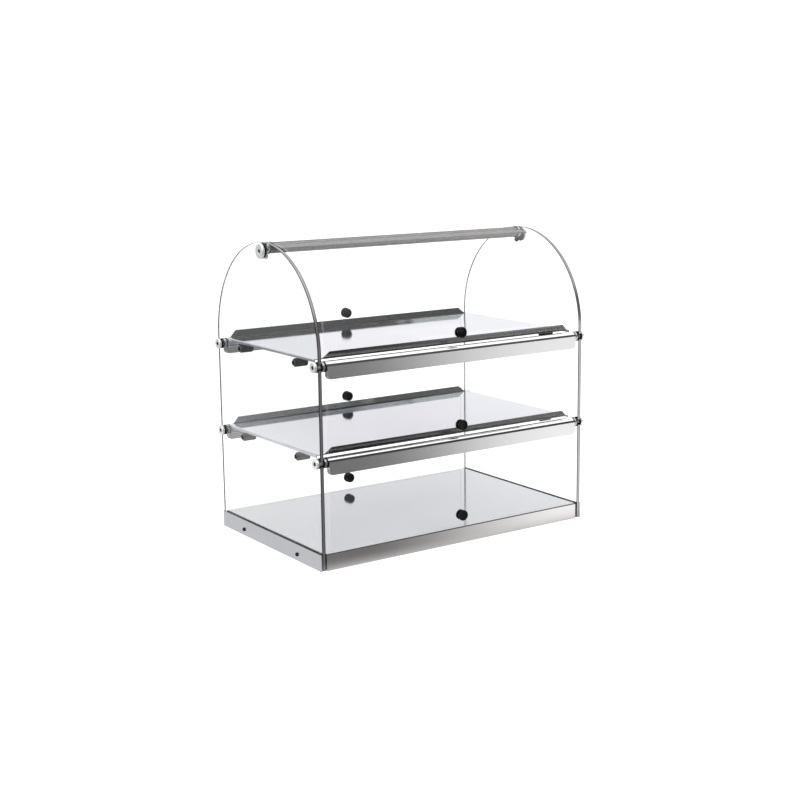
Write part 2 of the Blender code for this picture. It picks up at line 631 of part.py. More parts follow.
def make_curved_doors():
    """Two quarter-round doors that share the top rod, with interleaved tubes."""
    quarter = PROFILE_HALF / 2
    seam = 0.25 * MM
    spans = {"front": ((-PROFILE_HALF, -quarter - seam), (seam, quarter - seam)),
             "rear": ((-quarter + seam, -seam), (quarter + seam, PROFILE_HALF))}
    for face, sign in FACES.items():
        hinge_pivot = pivot(f"top_{face}_door_axis", (0, 0, TOP_ROD_Z))
        hinge = prism(f"top_{face}_hinge_profile", [lip_outline(LIP_START, LIP_END)],
                      -PROFILE_HALF, PROFILE_HALF, BRUSHED, flip=sign)
        for index, (low_x, high_x) in enumerate(spans[face]):
            round_part = [(y, TOP_ROD_Z + z) for y, z in arc((0, 0), TOP_TUBE_RADIUS, 0, 345, 23)]
            join(hinge, prism(f"top_{face}_tube_{index}", [round_part], low_x, high_x, cutter=True))
            web = [lip_outline(WEB_START, WEB_END, WEB_INSET)]
            join(hinge, prism(f"top_{face}_web_{index}", web, low_x + WEB_INSET, high_x - WEB_INSET,
                              cutter=True, flip=sign))
        cut(hinge, rod_cutter(f"top_{face}_bore", (0, 0, TOP_ROD_Z), TUBE_BORE, CASE_LENGTH, ROD_SIDES))
        hang(hinge, hinge_pivot)
        inner = CURVE_OUT - DOOR_THICK
        centre = (0, ARCH_CENTRE)
        top_angles = [90 - math.degrees(math.asin(CURVE_START / radius)) for radius in (CURVE_OUT, inner)]
        sheet = arc(centre, CURVE_OUT, 0, top_angles[0], 24) + arc(centre, inner, top_angles[1], 0, 24)
        door = prism(f"top_{face}_door", [sheet], -PROFILE_HALF, PROFILE_HALF, ACRYLIC, flip=sign)
        slope = math.asin((KNOB_Z["top"] - ARCH_CENTRE) / CURVE_OUT)
        place = (Matrix.Translation((-sign * KNOB_OFFSET, sign * CURVE_OUT * math.cos(slope),
                                     KNOB_Z["top"])) @
                 Matrix.Rotation(-sign * (math.pi / 2 - slope), 4, "X"))
        fit_knob(f"top_{face}", door, place, hinge_pivot)
        hang(door, hinge_pivot)


make_tray()
make_bottom_plate()
make_feet()
make_side_covers()
make_heating_mat()
make_power_inlet()
make_rocker()
make_end_glasses()
make_rods()
make_caps()
make_shelves()
make_pegs()
make_level_doors()
make_curved_doors()

for obj in case.objects:
    if obj.type == "MESH" and not any(step.type == "SCREW" for step in obj.modifiers):
        obj.data.shade_smooth()
        obj.data.set_sharp_from_angle(angle=math.radians(30))
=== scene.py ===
# Hot food display case: finishes, fine surfaces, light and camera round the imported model
import math

import bmesh
import bpy
from mathutils import Matrix, Vector


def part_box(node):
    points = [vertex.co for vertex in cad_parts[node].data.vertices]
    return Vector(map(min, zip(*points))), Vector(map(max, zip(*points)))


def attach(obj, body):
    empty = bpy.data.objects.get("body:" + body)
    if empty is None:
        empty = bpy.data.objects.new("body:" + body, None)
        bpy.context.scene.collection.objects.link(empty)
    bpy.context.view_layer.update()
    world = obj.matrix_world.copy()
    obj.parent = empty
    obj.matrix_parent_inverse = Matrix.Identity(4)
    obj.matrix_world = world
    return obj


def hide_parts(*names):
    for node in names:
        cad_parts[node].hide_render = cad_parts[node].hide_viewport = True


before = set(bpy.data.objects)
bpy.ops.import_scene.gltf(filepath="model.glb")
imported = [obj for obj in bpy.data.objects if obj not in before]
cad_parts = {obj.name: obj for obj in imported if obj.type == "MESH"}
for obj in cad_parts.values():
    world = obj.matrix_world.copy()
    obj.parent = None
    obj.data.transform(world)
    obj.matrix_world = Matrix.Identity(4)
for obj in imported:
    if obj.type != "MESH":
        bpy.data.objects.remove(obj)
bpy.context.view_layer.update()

mm = 0.001
sides = {"left": -1, "right": 1}
faces = {"front": -1, "rear": 1}
levels = ("upper", "lower")
print("frame loaded:", len(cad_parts), "nodes")


# ---- shader helpers: a value can be added, multiplied and so on, which adds Math nodes
class Value:
    def __init__(self, finish, socket):
        self.finish = finish
        self.socket = socket

    def calc(self, operation, *others):
        values = dict(enumerate((self, *others)))
        return self.finish.node("Math", {"operation": operation}, values)

    def __add__(self, other):
        return self.calc("ADD", other)

    def __mul__(self, other):
        return self.calc("MULTIPLY", other)

    def __sub__(self, other):
        return self.calc("SUBTRACT", other)

    def __rsub__(self, other):
        return (self * -1) + other

    __radd__ = __add__
    __rmul__ = __mul__

    def size(self):
        return self.calc("ABSOLUTE")

    def ramp(self, start, end):  # smooth 0..1 between two values
        settings = {"interpolation_type": "SMOOTHSTEP", "clamp": True}
        return self.finish.node("MapRange", settings, {"Value": self, "From Min": start, "From Max": end})

    def axis(self, letter):
        return self.finish.node("SeparateXYZ", {}, {"Vector": self}, letter)


class Finish:  # one material (or world) with its node tree
    def __init__(self, name, owner=None):
        self.material = owner or bpy.data.materials.new(name)
        self.material.use_nodes = True
        self.tree = self.material.node_tree

    def node(self, kind, settings, sockets, out=0):
        made = self.tree.nodes.new("ShaderNode" + kind)
        for name, setting in settings.items():
            if name == "stops":
                self.setStops(made.color_ramp, setting)
            else:
                setattr(made, name, setting)
        for name, value in sockets.items():
            self.feed(made.inputs[name], value)
        return Value(self, made.outputs[out])

    def feed(self, socket, value):
        if isinstance(value, Value):
            self.tree.links.new(value.socket, socket)
        else:
            socket.default_value = value

    def setStops(self, ramp, stops):
        while len(ramp.elements) < len(stops):
            ramp.elements.new(1.0)
        for element, (place, colour) in zip(ramp.elements, stops):
            element.position = place
            element.color = (*colour, 1.0)

    def set(self, **sockets):  # sockets of the Principled shader, with _ for a blank
        shader = self.tree.nodes["Principled BSDF"]
        for name, value in sockets.items():
            self.feed(shader.inputs[name.replace("_", " ")], value)
        return self

    def place(self):
        return self.node("TexCoord", {}, {}, "Object")

    def noise(self, stretch, detail=2.0, rough=0.5):
        spread = self.node("Mapping", {}, {"Vector": self.place(), "Scale": stretch})
        return self.node("TexNoise", {}, {"Vector": spread, "Scale": 1.0, "Detail": detail,
                                          "Roughness": rough})

    def tint(self, dark, light, share):
        return self.node("Mix", {"data_type": "RGBA"}, {0: share, 6: (*dark, 1.0), 7: (*light, 1.0)}, 2)

    def bump(self, height, strength, distance):
        return self.node("Bump", {}, {"Height": height, "Strength": strength, "Distance": distance},
                         "Normal")


# ---- finishes
def steel(name, dark, light, rough, grain, streak=0.5, metallic=1.0):
    # grain is the stretch of the brushing on each axis; long on the axis with the small number
    finish = Finish(name)
    lines = finish.noise(grain, 3.0, 0.6)
    clouds = finish.noise((7, 7, 7), 2.0)
    share = lines * streak + clouds * (1 - streak)
    finish.set(Base_Color=finish.tint(dark, light, share), Metallic=metallic,
               Roughness=lines * 0.10 + clouds * 0.06 + (rough - 0.08),
               Normal=finish.bump(lines, 0.12, 0.0001))
    return finish.material


brushing = {"alongX": (9, 1500, 1500), "alongY": (1500, 9, 1500), "round": (420, 420, 420)}
shelfSteel = steel("shelfSteel", (0.62, 0.62, 0.665), (0.74, 0.74, 0.785), 0.06,
                   brushing["alongX"], 0.35, metallic=0.92)
deckSteel = steel("deckSteel", (0.61, 0.615, 0.64), (0.76, 0.765, 0.79), 0.07, brushing["alongX"], 0.35,
                  metallic=0.92)
# painted shade: a darker greenish copy of the shelf steel for the inside of the flanges
paintedFlangeShade = steel("paintedFlangeShade", (0.33, 0.36, 0.35), (0.47, 0.49, 0.48), 0.085,
                    brushing["alongX"], 0.3)
# painted shade: a near-black copy of the steel for fold lines, creases and the side covers' top edges
paintedFoldShade = steel("paintedFoldShade", (0.05, 0.05, 0.045), (0.12, 0.115, 0.11), 0.30, brushing["alongX"], 0.3)
brushedSteel = steel("brushedSteel", (0.52, 0.52, 0.525), (0.66, 0.655, 0.66), 0.24, brushing["alongX"])
skirtSteel = steel("skirtSteel", (0.52, 0.51, 0.505), (0.66, 0.645, 0.635), 0.24, brushing["alongX"])
coverSteel = steel("coverSteel", (0.49, 0.495, 0.52), (0.65, 0.655, 0.685), 0.28, brushing["alongY"])
# painted highlight: a near-white copy of the profile steel for the upper half of the hinge tube
tubePaintedHighlight = steel("tubePaintedHighlight", (0.88, 0.88, 0.88), (0.97, 0.97, 0.96), 0.10, brushing["alongX"])
barSteel = steel("barSteel", (0.09, 0.085, 0.08), (0.19, 0.178, 0.165), 0.24, brushing["alongX"])
# painted shade: a near-black copy of the shelf steel for the outside of the flanges
paintedFlangeOutsideShade = steel("paintedFlangeOutsideShade", (0.06, 0.062, 0.06), (0.13, 0.125, 0.115), 0.16,
                       brushing["alongX"], 0.3)
collarSteel = steel("collarSteel", (0.34, 0.37, 0.35), (0.52, 0.54, 0.52), 0.22, brushing["round"], 0.3)
chrome = steel("chrome", (0.70, 0.71, 0.72), (0.86, 0.86, 0.86), 0.10, brushing["round"], 0.3)
satinChrome = steel("satinChrome", (0.72, 0.73, 0.74), (0.90, 0.90, 0.90), 0.24,
                    brushing["round"], 0.3, metallic=0.45)
galvanised = steel("galvanised", (0.36, 0.37, 0.38), (0.52, 0.53, 0.54), 0.42, (60, 60, 60), 0.6)


def moulded(name, dark, light, rough, texture, depth):
    finish = Finish(name)
    pimples = finish.noise((texture, texture, texture), 3.0, 0.6)
    finish.set(Base_Color=finish.tint(dark, light, pimples), Roughness=pimples * 0.12 + (rough - 0.06),
               Specular_IOR_Level=0.12, Normal=finish.bump(pimples, depth, 0.0002))
    return finish.material


blackPlastic = moulded("blackPlastic", (0.0015, 0.0015, 0.002), (0.006, 0.007, 0.008), 0.16, 700, 0.10)
matteBlack = moulded("matteBlack", (0.006, 0.006, 0.007), (0.018, 0.018, 0.020), 0.42, 2600, 0.35)
rubber = moulded("rubber", (0.006, 0.006, 0.006), (0.018, 0.017, 0.016), 0.70, 1500, 0.4)
brass = steel("brassPins", (0.62, 0.50, 0.26), (0.78, 0.64, 0.36), 0.25, brushing["round"])


def heaterRubber():
    # glass-cloth reinforced silicone: a fine square weave
    finish = Finish("heaterRubber")
    settings = {"threads": 3900}  # radians a metre
    place = finish.place()
    weave = [(place.axis(letter) * settings["threads"]).calc("SINE") for letter in "XY"]
    cloth = weave[0].size() * weave[1].size()
    finish.set(Base_Color=finish.tint((0.34, 0.07, 0.03), (0.55, 0.14, 0.07), cloth), Roughness=0.6,
               Normal=finish.bump(cloth, 0.4, 0.0002))
    return finish.material


siliconeRed = heaterRubber()


def clearGlass():
    finish = Finish("clearGlass")
    smear = finish.noise((5, 5, 5), 2.0)
    finish.set(Base_Color=(0.985, 0.995, 0.99, 1.0), Roughness=smear * 0.01, IOR=1.5,
               Transmission_Weight=1.0)
    lamp = finish.node("LightPath", {}, {}, "Is Shadow Ray")
    clear = finish.node("BsdfTransparent", {}, {"Color": (0.93, 0.96, 0.95, 1.0)})
    glass = Value(finish, finish.tree.nodes["Principled BSDF"].outputs[0])
    blend = finish.node("MixShader", {}, {0: lamp, 1: glass, 2: clear})
    finish.feed(finish.tree.nodes["Material Output"].inputs["Surface"], blend)
    return finish.material


glassInner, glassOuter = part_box("end_glass_right")[0].x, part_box("end_glass_right")[1].x
glassMiddle = (glassInner + glassOuter) / 2


def paintedShadeEdge():
    # ground and polished edge; its dark arrises each side of a lighter middle are painted shade
    finish = Finish("glassEdge")
    off = finish.place().axis("X").size() - glassMiddle
    # painted shade: darker towards each face of the glass
    arris = off.size().ramp(0.9 * mm, 2.3 * mm)
    mottle = finish.noise((90, 90, 90), 2.0)
    colour = finish.tint((0.40, 0.37, 0.39), (0.05, 0.045, 0.048), arris * 0.85 + mottle * 0.15)
    finish.set(Base_Color=colour, Metallic=0.85, Roughness=mottle * 0.1 + 0.16)
    return finish.material


def clearSheet():
    # thin clear sheet: a mirror that is nearly all see-through, more so head on
    finish = Finish("clearAcrylic")
    glance = finish.node("LayerWeight", {}, {"Blend": 0.5}, "Facing")
    finish.set(Base_Color=(0.97, 0.98, 0.98, 1.0), Metallic=1.0, Roughness=0.03,
               Alpha=glance.calc("POWER", 5) * 0.35 + 0.02)
    return finish.material


def sheetEdge():
    finish = Finish("acrylicEdge")
    mottle = finish.noise((60, 60, 60), 2.0)
    finish.set(Base_Color=finish.tint((0.62, 0.65, 0.67), (0.80, 0.82, 0.83), mottle), Roughness=0.2,
               Alpha=0.2)
    return finish.material


glassClear, glassEdge = clearGlass(), paintedShadeEdge()
acrylicClear, acrylicEdge = clearSheet(), sheetEdge()
print("finishes made:", len(bpy.data.materials))


# ---- shape helpers
def roundEdges(shape, width, segments=2, angle=35):
    limit = math.radians(angle)
    sharp = [edge for edge in shape.edges
             if len(edge.link_faces) == 2 and edge.calc_face_angle(0) > limit]
    bmesh.ops.bevel(shape, geom=sharp, offset=width, segments=segments, profile=0.5, affect="EDGES",
                    clamp_overlap=True, material=-1)


def makePiece(name, shape, materials, body, nodes=(), pick=None, sheet=None, smooth=40):
    bmesh.ops.remove_doubles(shape, verts=shape.verts, dist=0.000001)
    bmesh.ops.recalc_face_normals(shape, faces=shape.faces)
    if sheet:  # an open fold gets its thickness on the inner side
        bmesh.ops.solidify(shape, geom=shape.faces[:], thickness=sheet)
    shape.normal_update()
    if pick:
        for face in shape.faces:
            face.material_index = pick(face)
    mesh = bpy.data.meshes.new(name)
    shape.to_mesh(mesh)
    shape.free()
    for material in materials:
        mesh.materials.append(material)
    mesh.shade_smooth()
    mesh.set_sharp_from_angle(angle=math.radians(smooth))
    piece = bpy.data.objects.new(name, mesh)
    bpy.context.scene.collection.objects.link(piece)
    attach(piece, body)
    flats = piece.modifiers.new("Flats", "WEIGHTED_NORMAL")
    flats.weight = 100
    flats.keep_sharp = True
    if nodes:
        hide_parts(*nodes)


def chain(shape, points):
    # joins points in a closed outline and returns its edges
    corners = [shape.verts.new(point) for point in points]
    return [shape.edges.new((corners[i - 1], corners[i])) for i in range(len(corners))]


def arc(centre, radius, start, end, steps):
    turns = [math.radians(start + (end - start) * i / steps) for i in range(steps + 1)]
    return [(centre[0] + radius * math.cos(turn), centre[1] + radius * math.sin(turn)) for turn in turns]


def fillAndExtrude(shape, edges, push):
    bmesh.ops.triangle_fill(shape, use_beauty=True, edges=edges)
    bmesh.ops.dissolve_limit(shape, angle_limit=0.01, verts=shape.verts, edges=shape.edges)
    walls = bmesh.ops.extrude_face_region(shape, geom=shape.faces[:])
    moved = [part for part in walls["geom"] if isinstance(part, bmesh.types.BMVert)]
    bmesh.ops.translate(shape, verts=moved, vec=push)
    bmesh.ops.recalc_face_normals(shape, faces=shape.faces)


def turn(shape, profile, place, segments=48):
    # spins (radius, height) points round local Z, then sets the result in place
    points = [shape.verts.new((radius, 0, height)) for radius, height in profile]
    rim = [shape.edges.new(pair) for pair in zip(points, points[1:])]
    bmesh.ops.spin(shape, geom=points + rim, cent=(0, 0, 0), axis=(0, 0, 1), angle=2 * math.pi,
                   steps=segments, use_merge=True)
    bmesh.ops.remove_doubles(shape, verts=shape.verts, dist=0.000001)
    bmesh.ops.recalc_face_normals(shape, faces=shape.faces)
    bmesh.ops.transform(shape, matrix=place, verts=shape.verts)


def alongX(sign, start):
    return Matrix.Translation(start) @ Matrix.Rotation(sign * math.pi / 2, 4, "Y")


def block(shape, low, high):
    low, high = Vector(low), Vector(high)
    place = Matrix.Translation((low + high) / 2) @ Matrix.Diagonal((*(high - low), 1))
    return bmesh.ops.create_cube(shape, size=1, matrix=place)["verts"]


def middle(node):
    low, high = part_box(node)
    return (low + high) / 2


rods = {"top_rod": "top"}
rods.update({f"{level}_{face}_rod": level for level in levels for face in faces})


# ---- end glasses
def endGlasses():
    settings = {"arris": 0.5 * mm, "archSteps": 120, "notch": 4.4 * mm, "screwHole": 2.6 * mm,
                "pegHole": 3.3 * mm}
    for side, sign in sides.items():
        low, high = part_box(f"end_glass_{side}")
        half, bottom = high.y, low.z
        centre = high.z - half
        rear = []
        for level in reversed(levels):
            rod = middle(f"{level}_rear_rod")
            notch = arc((rod.y, rod.z), settings["notch"], 270, 90, 16)
            rear += [(half, rod.z - settings["notch"])] + notch + [(half, rod.z + settings["notch"])]
        outline = [(half, bottom)] + rear + arc((0, centre), half, 0, 180, settings["archSteps"])
        outline += [(-y, z) for y, z in reversed(rear)] + [(-half, bottom)]
        shape = bmesh.new()
        edges = chain(shape, [(low.x, y, z) for y, z in outline])
        top = middle(f"top_cap_{side}")
        holes = [(top.y, top.z, settings["notch"])]
        for face in faces:
            screw = middle(f"cover_screw_{side}_{face}")
            holes.append((screw.y, screw.z, settings["screwHole"]))
            for level in levels:
                peg = middle(f"{level}_peg_{side}_{face}")
                holes.append((peg.y, peg.z, settings["pegHole"]))
        for y, z, radius in holes:
            edges += chain(shape, [(low.x, *point) for point in arc((y, z), radius, 0, 345, 23)])
        fillAndExtrude(shape, edges, (high.x - low.x, 0, 0))
        roundEdges(shape, settings["arris"], 2)
        makePiece(f"endGlass_{side}", shape, (glassClear, glassEdge), "case", [f"end_glass_{side}"],
                  lambda face: 0 if abs(face.normal.x) > 0.999 else 1)


endGlasses()
print("end glasses made")


# ---- rods, collars, caps and their washers
def rodsAndCaps():
    settings = {"rod": 5 * mm, "collarLength": 7.4 * mm, "ring": 1.6 * mm, "slack": 0.1 * mm,
                "thread": 3 * mm, "shank": 4 * mm, "standoff": 1.5 * mm, "rimRound": 1.2 * mm,
                "socket": 3 * mm, "socketDepth": 2.6 * mm, "washerInset": 0.15 * mm,
                "washerHole": 4.2 * mm}
    ring, slack, length = settings["ring"], settings["slack"], settings["collarLength"]
    for node, level in rods.items():
        low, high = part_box(node)
        axis = (low + high) / 2
        collar, end = (high.z - low.z) / 2, high.x
        shape = bmesh.new()
        rod, gap = settings["rod"], settings["rod"] - 0.8 * mm
        half = [(0, end - 3 * mm), (gap, end - 3 * mm), (gap, end - ring),
                (collar - 0.8 * mm, end - ring), (collar - 0.15 * mm, end - ring - 0.5 * mm),
                (collar, end - length / 2), (collar - 0.15 * mm, end - length + ring + 0.5 * mm),
                (collar - 0.8 * mm, end - length + ring), (rod, end - length + ring)]
        turn(shape, half + [(radius, -height) for radius, height in reversed(half)], alongX(1, axis))
        roundEdges(shape, 0.2 * mm)
        makePiece(node.replace("_rod", "Rod"), shape, (collarSteel,), "case", [node])
        shape = bmesh.new()
        for sign in sides.values():
            for start in (end, end - length + ring):
                parts = bmesh.new()
                outer, inner = collar - 0.05 * mm, settings["rod"] - 0.6 * mm
                near, far = start - slack, start - ring + slack
                turn(parts, [(inner, near), (outer, near), (outer, far), (inner, far), (inner, near)],
                     alongX(1, axis))
                if sign < 0:
                    bmesh.ops.scale(parts, vec=(-1, 1, 1), verts=parts.verts)
                    bmesh.ops.reverse_faces(parts, faces=parts.faces)
                roundEdges(parts, 0.25 * mm)
                merge(shape, parts)
        makePiece(node.replace("_rod", "CollarRings"), shape, (rubber,), "case", [])
        for side, sign in sides.items():
            capAndWasher(node, side, sign, settings)


def merge(shape, parts):
    # moves another bmesh into this one
    mesh = bpy.data.meshes.new("part")
    parts.to_mesh(mesh)
    parts.free()
    shape.from_mesh(mesh)
    bpy.data.meshes.remove(mesh)


def capAndWasher(node, side, sign, settings):
    cap = node.replace("_rod", f"_cap_{side}")
    low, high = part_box(cap)
    axis = (low + high) / 2
    radius, face = (high.z - low.z) / 2, max(abs(low.x), abs(high.x))
    tip, back = min(abs(low.x), abs(high.x)), glassOuter + settings["standoff"]
    shape = bmesh.new()
    soft = settings["rimRound"]
    rim = arc((radius - soft, face - soft), soft, 0, 90, 6)
    hexagon, shoulder = settings["socket"], glassInner - 0.3 * mm
    thread, thick = settings["thread"], settings["shank"]
    shank = [(0, tip), (thread, tip), (thread, shoulder), (thick, shoulder), (thick, back)]
    turn(shape, shank + [(radius - 0.4 * mm, back), (radius, back + 0.4 * mm)] + rim +
         [(hexagon + 1.2 * mm, face), (hexagon + 0.5 * mm, face - 0.5 * mm)], Matrix.Identity(4), 48)
    opening = [edge for edge in shape.edges if len(edge.link_faces) == 1]
    key = chain(shape, [(x, y, face - 0.5 * mm) for x, y in arc((0, 0), hexagon, 0, 300, 5)])
    bmesh.ops.subdivide_edges(shape, edges=key, cuts=7)
    key = [edge for edge in shape.edges if not edge.link_faces]
    bmesh.ops.bridge_loops(shape, edges=opening + key)
    inner = [edge for edge in shape.edges if len(edge.link_faces) == 1]
    deep = bmesh.ops.extrude_edge_only(shape, edges=inner)["geom"]
    moved = [part for part in deep if isinstance(part, bmesh.types.BMVert)]
    bmesh.ops.translate(shape, verts=moved, vec=(0, 0, -settings["socketDepth"]))
    floor = [edge for edge in shape.edges if len(edge.link_faces) == 1]
    bmesh.ops.edgeloop_fill(shape, edges=floor)
    deepest = face - settings["socketDepth"] - 0.4 * mm
    # the faces of the hex socket take black: painted shade in the recess
    for part in shape.faces:
        spot = part.calc_center_median()
        if spot.z > deepest and spot.xy.length < hexagon + 0.1 * mm:
            part.material_index = 1
    bmesh.ops.transform(shape, matrix=alongX(sign, (0, axis.y, axis.z)), verts=shape.verts)
    makePiece(cap.replace("_", ""), shape, (satinChrome, matteBlack), "case", [cap])
    shape = bmesh.new()
    outer, inner = radius - settings["washerInset"], settings["washerHole"]
    near, far = glassOuter + settings["slack"], back - settings["slack"]
    turn(shape, [(inner, near), (outer, near), (outer, far), (inner, far), (inner, near)],
         Matrix.Identity(4))
    roundEdges(shape, 0.3 * mm)
    bmesh.ops.transform(shape, matrix=alongX(sign, (0, axis.y, axis.z)), verts=shape.verts)
    makePiece(cap.replace("_", "") + "Washer", shape, (rubber,), "case", [])


rodsAndCaps()
print("rods and caps made")


# ---- shelves: one folded sheet with leaning flanges and side hems
def shelfSide(face):
    lean = abs(face.normal.y)
    if lean > 0.9:  # flanges: painted shade, a darker copy of the steel inside and a near-black one outside
        return 1 if face.normal.z > 0 else 3
    # the fold faces take the painted shade
    return 2 if lean > 0.05 else 0


def shelves():
    settings = {"sheet": 1.2 * mm, "bend": 138 * mm, "lean": 3 * mm, "flangeHeight": 10 * mm,
                "flangeRoot": 231 * mm, "flangeTop": 220 * mm, "hemSetback": 3 * mm,
                "foldRound": 1.6 * mm}
    for level in levels:
        node = f"{level}_shelf"
        low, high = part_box(node)
        hem, lip, sheet = low.z, high.z, settings["sheet"]
        top, root = lip - settings["flangeHeight"], settings["flangeRoot"]
        half = high.x - 0.01 * mm
        bend = settings["bend"]
        shape = bmesh.new()
        inset = settings["hemSetback"]
        plan = [(-half, -bend + inset), (-root, -bend), (root, -bend), (half, -bend + inset),
                (half, bend - inset), (root, bend), (-root, bend), (-half, bend - inset)]
        corners = [shape.verts.new((x, y, top)) for x, y in plan]
        shape.faces.new(corners)
        edges = {"front": corners[1:3], "rear": corners[5:7]}
        for face, sign in faces.items():
            root = shape.edges.get(edges[face])
            grown = bmesh.ops.extrude_edge_only(shape, edges=[root])["geom"]
            for vert in [part for part in grown if isinstance(part, bmesh.types.BMVert)]:
                vert.co = (math.copysign(settings["flangeTop"], vert.co.x),
                           sign * (bend + settings["lean"]), lip)
        for pair in ((corners[7], corners[0]), (corners[3], corners[4])):
            grown = bmesh.ops.extrude_edge_only(shape, edges=[shape.edges.get(pair)])["geom"]
            for vert in [part for part in grown if isinstance(part, bmesh.types.BMVert)]:
                vert.co.z = hem
        folds = [edge for edge in shape.edges if len(edge.link_faces) == 2]
        bmesh.ops.bevel(shape, geom=folds, offset=settings["foldRound"], segments=4, profile=0.5,
                        affect="EDGES", clamp_overlap=True, material=-1)
        makePiece(node.replace("_s", "S"), shape,
                  (shelfSteel, paintedFlangeShade, paintedFoldShade, paintedFlangeOutsideShade), "case", [node],
                  shelfSide, sheet)


shelves()
print("shelves made")


# ---- base: folded deck tray, side covers with their screws, black strips of painted shade in the glass slots, feet
def deckTray():
    settings = {"sheet": 1.2 * mm, "foldRound": 1.6 * mm, "inletHalf": (24.3 * mm, 8.8 * mm)}
    low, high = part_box("deck_tray")
    shape = bmesh.new()
    block(shape, low, high)
    shape.normal_update()
    bottom = [face for face in shape.faces if face.normal.z < -0.5]
    bmesh.ops.delete(shape, geom=bottom, context="FACES_ONLY")
    folds = [edge for edge in shape.edges if len(edge.link_faces) == 2]
    bmesh.ops.bevel(shape, geom=folds, offset=settings["foldRound"], segments=4, profile=0.5,
                    affect="EDGES", clamp_overlap=True, material=-1)
    inlet, half = middle("power_inlet"), settings["inletHalf"]
    cuts = ((Vector((1, 0, 0)), inlet.x, half[0]), (Vector((0, 0, 1)), inlet.z, half[1]))
    for axis, at, reach in cuts:  # window in the rear skirt for the inlet
        for side in (-reach, reach):
            shape.normal_update()
            skirt = [face for face in shape.faces if face.normal.y > 0.999]
            parts = {part for face in skirt for part in (*face.verts, *face.edges, face)}
            bmesh.ops.bisect_plane(shape, geom=list(parts), dist=1e-7, plane_co=axis * (at + side),
                                   plane_no=axis)
    shape.normal_update()
    window = [face for face in shape.faces if face.normal.y > 0.999
              and abs(face.calc_center_median().x - inlet.x) < half[0]
              and abs(face.calc_center_median().z - inlet.z) < half[1]]
    bmesh.ops.delete(shape, geom=window, context="FACES")
    # the fold faces of the tray take the painted shade
    makePiece("deckTray", shape, (deckSteel, skirtSteel, paintedFoldShade), "case", ["deck_tray"],
              lambda face: 0 if abs(face.normal.z) > 0.995 else 1 if abs(face.normal.z) < 0.3 else 2,
              settings["sheet"])


def sideCovers():
    settings = {"hole": 2.3 * mm, "edge": 0.4 * mm, "head": 3 * mm, "key": 1.3 * mm}
    for side, sign in sides.items():
        low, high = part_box(f"side_cover_{side}")
        shape = bmesh.new()
        edges = chain(shape, [(low.x, low.y, low.z), (low.x, high.y, low.z), (low.x, high.y, high.z),
                              (low.x, low.y, high.z)])
        for face in faces:
            screw = middle(f"cover_screw_{side}_{face}")
            ring = arc((screw.y, screw.z), settings["hole"], 0, 345, 23)
            edges += chain(shape, [(low.x, *point) for point in ring])
            coverScrew(side, sign, face, screw, settings)
        fillAndExtrude(shape, edges, (high.x - low.x, 0, 0))
        roundEdges(shape, settings["edge"], 3)
        # the upward faces of the cover take the painted shade of the dark gap by the glass
        makePiece(f"sideCover_{side}", shape, (coverSteel, paintedFoldShade), "case", [f"side_cover_{side}"],
                  lambda face: 1 if face.normal.z > 0.3 else 0)


def coverScrew(side, sign, face, screw, settings):
    node = f"cover_screw_{side}_{face}"
    low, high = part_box(node)
    tip, end = sorted((abs(low.x), abs(high.x)))
    base, head = end - 1.8 * mm, settings["head"]
    shape = bmesh.new()
    crown = arc((head - 1.2 * mm, base + 0.6 * mm), 1.2 * mm, 0, 80, 6)
    turn(shape, [(0, tip), (2 * mm, tip), (2 * mm, base), (head, base)] + crown +
         [(settings["key"] + 0.2 * mm, end), (settings["key"], end - 0.9 * mm), (0, end - 0.9 * mm)],
         Matrix.Identity(4), 32)
    bmesh.ops.transform(shape, matrix=alongX(sign, (0, screw.y, screw.z)), verts=shape.verts)
    makePiece(f"coverScrew_{side}_{face}", shape, (matteBlack,), "case", [node])


def slotShadeStrips():
    # black strips in the slots each side of the end glasses: painted shade that darkens the gap
    settings = {"depth": 6 * mm, "below": 0.25 * mm, "short": 3 * mm, "gap": 0.15 * mm}
    trayHalf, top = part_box("deck_tray")[1].x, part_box("deck_tray")[1].z
    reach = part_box("deck_tray")[1].y - settings["short"]
    for side, sign in sides.items():
        shape = bmesh.new()
        ends = sorted((sign * (trayHalf + settings["gap"]), sign * (glassInner - settings["gap"])))
        block(shape, (ends[0], -reach, top - settings["depth"]),
              (ends[1], reach, top - settings["below"]))
        roundEdges(shape, 0.4 * mm, 2)
        makePiece(f"slotShadeStrip_{side}", shape, (rubber,), "case", [])


def feet():
    settings = {"soft": 1.2 * mm, "plate": 4.2 * mm, "dish": 0.5 * mm, "neck": 3.2 * mm, "barb": 4.4 * mm}
    for side in sides:
        for face in faces:
            node = f"foot_{side}_{face}"
            low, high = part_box(node)
            centre = (low + high) / 2
            radius, soft, plate = (high.x - low.x) / 2, settings["soft"], settings["plate"]
            dish, neck, barb = settings["dish"], settings["neck"], settings["barb"]
            shape = bmesh.new()
            sole = [(0, dish), (radius * 0.45, dish), (radius * 0.55, 0)]
            stem = [(neck, plate), (neck, 6 * mm), (barb, 6 * mm), (3.4 * mm, high.z - 0.4 * mm),
                    (2.8 * mm, high.z), (0, high.z)]
            turn(shape, sole + arc((radius - soft, soft), soft, 270, 360, 6) +
                 arc((radius - 0.6 * mm, plate - 0.6 * mm), 0.6 * mm, 0, 90, 3) + stem,
                 Matrix.Translation((centre.x, centre.y, 0)), 40)
            makePiece(f"foot_{side}_{face}_pad", shape, (rubber,), "case", [node])


deckTray()
sideCovers()
slotShadeStrips()
feet()
print("base made")


